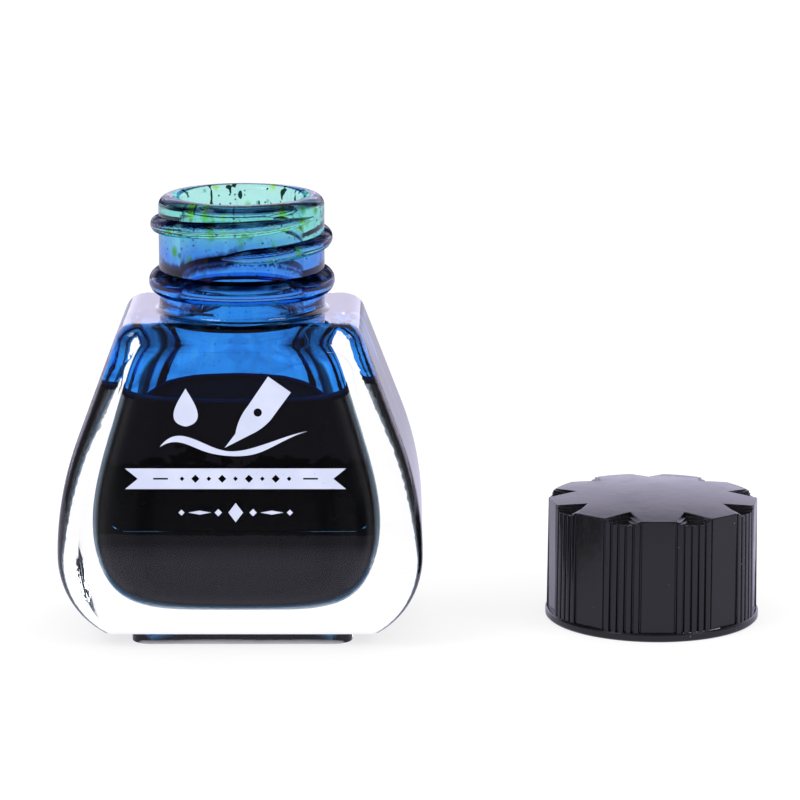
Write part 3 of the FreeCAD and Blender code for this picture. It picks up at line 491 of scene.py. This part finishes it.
def cap_plastic():
    """Glossy black moulding with soft edges, smudges, fine scratches and dust, and painted shade
    that dulls its top.
    """
    made, s = material("glossy_black_plastic")
    place = s.place()
    geometry = s.add("NewGeometry").outputs
    smudges = s.noise(place, 120.0, 4.0, 0.6)
    gap, colour = s.cells(place, 620.0)
    dust = s.times(s.ramp(gap, 0.03, 0.09, 1.0, 0.0),
                   s.math("GREATER_THAN", s.parts(colour)[1], 0.90))
    scratch = s.noise(s.stretched(place, 2400.0, 160.0, 300.0), 1.0, 1.0)
    scratch = s.ramp(s.math("ABSOLUTE", s.math("SUBTRACT", scratch, 0.5)), 0.0, 0.006, 1.0, 0.0)

    rough = s.math("ADD", s.ramp(smudges, 0.3, 0.75, 0.10, 0.24), s.times(scratch, 0.12))
    rough = s.math("ADD", rough, s.times(dust, 0.5))
    base = s.mix(smudges, (0.0035, 0.0035, 0.0042), (0.0075, 0.0075, 0.009))
    base = s.mix(s.times(dust, 0.4), base, (0.30, 0.30, 0.33))
    flat_up = s.parts(geometry["True Normal"])[2]
    # painted highlight: pale spots where the grooves' flat feet catch the light
    base = s.mix(groove_foot_painted_highlight(s, place, flat_up), base, (0.62, 0.60, 0.68))
    softened = s.add("Bevel", {"samples": 6}, {"Radius": 0.26 * MM})
    orange_peel = s.noise(place, 700.0, 2.0, 0.45)
    relief = s.math("SUBTRACT", orange_peel, s.times(scratch, 0.15))
    normal = s.add("Bump", {}, {"Height": relief, "Distance": 0.02 * MM, "Normal": softened})
    glossy = s.add("BsdfPrincipled", {}, {"Base Color": base, "Roughness": rough,
                                          "IOR": PLASTIC_IOR, "Normal": normal})
    dull = s.add("BsdfDiffuse", {}, {"Color": (0.004, 0.004, 0.005)})
    # painted shade: faces that look up take a share of black diffuse, so the top mirrors less
    top_painted_shade = s.ramp(s.parts(geometry["Normal"])[2], 0.5, 0.9, 0.0, 0.36)
    s.finish(s.add("MixShader", {}, {0: top_painted_shade, 1: glossy, 2: dull}))
    return made


def liner_foam():
    """Off-white foam with open pores, with painted shade darkening them."""
    made, s = material("white_liner_foam")
    gap, _ = s.cells(s.place(), 2200.0)
    pores = s.ramp(gap, 0.1, 0.6)
    # painted shade: darker in the pores
    tone = s.mix(pores, (0.55, 0.55, 0.53), (0.82, 0.82, 0.79))
    s.finish(s.add("BsdfPrincipled", {}, {"Base Color": tone, "Roughness": 0.75,
                                          "Normal": s.bump(pores, 0.08 * MM)}))
    return made


# ---------------------------------------------------------------- stage, light and camera

TABLE_HALF = 3.0
TABLE_TOP = -0.03 * MM     # just clear of the foot and of the cap's mouth
WHITE = 1.06               # a little over full white, so that the table burns out in the picture
GLOW = 0.72                # share of the table that glows, so that only faint shadows lie on it
LAMP_AIM = (0.02, 0.0, 0.03)    # between the bottle and the cap
LENS_PLACE = (0.02406, -0.560, 0.1563)
LENS_DIP = math.radians(12.204)    # how far below level the lens looks
LENS_MM = 168.1
SENSOR_MM = 36.0


def from_lens(s):
    """The shading point, or the ray's direction, across, up and away as the lens sees it."""
    return s.parts(s.add("TexCoord").outputs["Camera"])


def white_table():
    """A light table. In mirrors it is lavender paper that darkens and ends towards the lens."""
    made, s = material("white_floor")
    mottle = s.noise(s.place(), 30.0, 3.0)
    tone = s.mix(mottle, (0.955, 0.955, 0.96), (0.985, 0.985, 0.99))
    away = from_lens(s)[2]
    near = s.times(s.ramp(away, 0.335, 0.350), s.ramp(away, 0.42, 0.53, 0.30, 1.0))
    paper = s.mix(near, (0.06, 0.06, 0.07), (0.62, 0.60, 0.76))
    path = s.add("LightPath").outputs
    # a refracted ray counts as glossy too, so a mirrored one is glossy and nothing else
    mirrored = s.math("SUBTRACT", path["Is Glossy Ray"], path["Is Transmission Ray"], clamp=True)
    tone = s.mix(mirrored, tone, paper)
    glow = s.add("Emission", {}, {"Color": tone, "Strength": WHITE})
    matt = s.add("BsdfDiffuse", {}, {"Color": tone})
    s.finish(s.add("MixShader", {}, {0: GLOW, 1: matt, 2: glow}))
    return made


def stage_floor():
    corners = [(x * TABLE_HALF, y * TABLE_HALF, TABLE_TOP)
               for x, y in ((-1, -1), (1, -1), (1, 1), (-1, 1))]
    mesh = bpy.data.meshes.new("floor")
    mesh.from_pydata(corners, [], [(0, 1, 2, 3)])
    mesh.materials.append(white_table())
    floor = bpy.data.objects.new("floor", mesh)
    bpy.context.scene.collection.objects.link(floor)


def studio_world():
    """White all round for the eye and the table.

    Mirrored and refracted rays see a white tent behind the object instead, with dark flags at
    its sides and a dark room behind the lens; both turn with the camera.
    """
    world = bpy.data.worlds.new("studio")
    bpy.context.scene.world = world
    world.use_nodes = True
    s = Shader(world.node_tree)
    across, _, away = from_lens(s)
    up = s.parts(s.add("TexCoord").outputs["Generated"])[2]
    between_flags = s.ramp(s.math("ABSOLUTE", across), 0.80, 0.93, 1.0, 0.12)
    tent = s.times(s.ramp(away, -0.10, 0.25), between_flags)
    in_mirrors = s.math("MAXIMUM", s.times(tent, s.ramp(up, 0.32, 0.62, 1.0, 0.30)), 0.10)
    through_glass = s.math("MAXIMUM", s.times(tent, s.ramp(up, 0.45, 0.80, 1.0, 0.25)), 0.03)
    mirrored = s.mix(in_mirrors, (0.0, 0.0, 0.0), (1.76, 1.66, 2.16))
    refracted = s.mix(through_glass, (0.0, 0.0, 0.0), (1.16, 1.16, 1.18))
    path = s.add("LightPath").outputs
    tone = s.mix(path["Is Transmission Ray"], mirrored, refracted)
    plain = s.math("MAXIMUM", path["Is Camera Ray"], path["Is Diffuse Ray"])
    tone = s.mix(plain, tone, (WHITE, WHITE, WHITE))
    background = s.add("Background", {}, {"Color": tone, "Strength": 1.0})
    s.plug(s.add("OutputWorld").inputs["Surface"], background)


def soft_box(name, place, size, watts):
    """A square lamp that looks at a point between the bottle and the cap."""
    light = bpy.data.lights.new(name, "AREA")
    light.shape = "SQUARE"
    light.size = size
    light.energy = watts
    lamp = bpy.data.objects.new(name, light)
    bpy.context.scene.collection.objects.link(lamp)
    lamp.location = place
    lamp.rotation_mode = "QUATERNION"
    lamp.rotation_quaternion = (Vector(LAMP_AIM) - lamp.location).to_track_quat("-Z", "Y")


def camera():
    """A long lens in front, a little to the right of the bottle and looking down at it."""
    lens = bpy.data.cameras.new("camera")
    lens.sensor_width = SENSOR_MM
    lens.lens = LENS_MM
    lens.clip_start, lens.clip_end = 0.01, 20.0
    made = bpy.data.objects.new("camera", lens)
    bpy.context.scene.collection.objects.link(made)
    made.location = LENS_PLACE
    made.rotation_euler = (math.pi / 2 - LENS_DIP, 0.0, 0.0)
    bpy.context.scene.camera = made


# ---------------------------------------------------------------- the scene

ink_body().data.materials.append(blue_ink())
dress("glass_bottle", clear_glass())
enamel = print_enamel()
for print_name in ("emblem_print", "banner_print", "motif_print"):
    dress(print_name, enamel)
dress("screw_cap", cap_plastic())
dress("cap_liner", liner_foam())

stage_floor()
studio_world()
soft_box("key", (-0.45, -0.35, 0.75), 0.35, 2.0)
soft_box("fill", (0.60, -0.35, 0.60), 0.30, 1.2)
camera()

view = bpy.context.scene.view_settings
view.view_transform = "Standard"
cycles = bpy.context.scene.cycles
cycles.max_bounces = 24
cycles.transmission_bounces = 24
cycles.glossy_bounces = 12

bpy.context.view_layer.update()
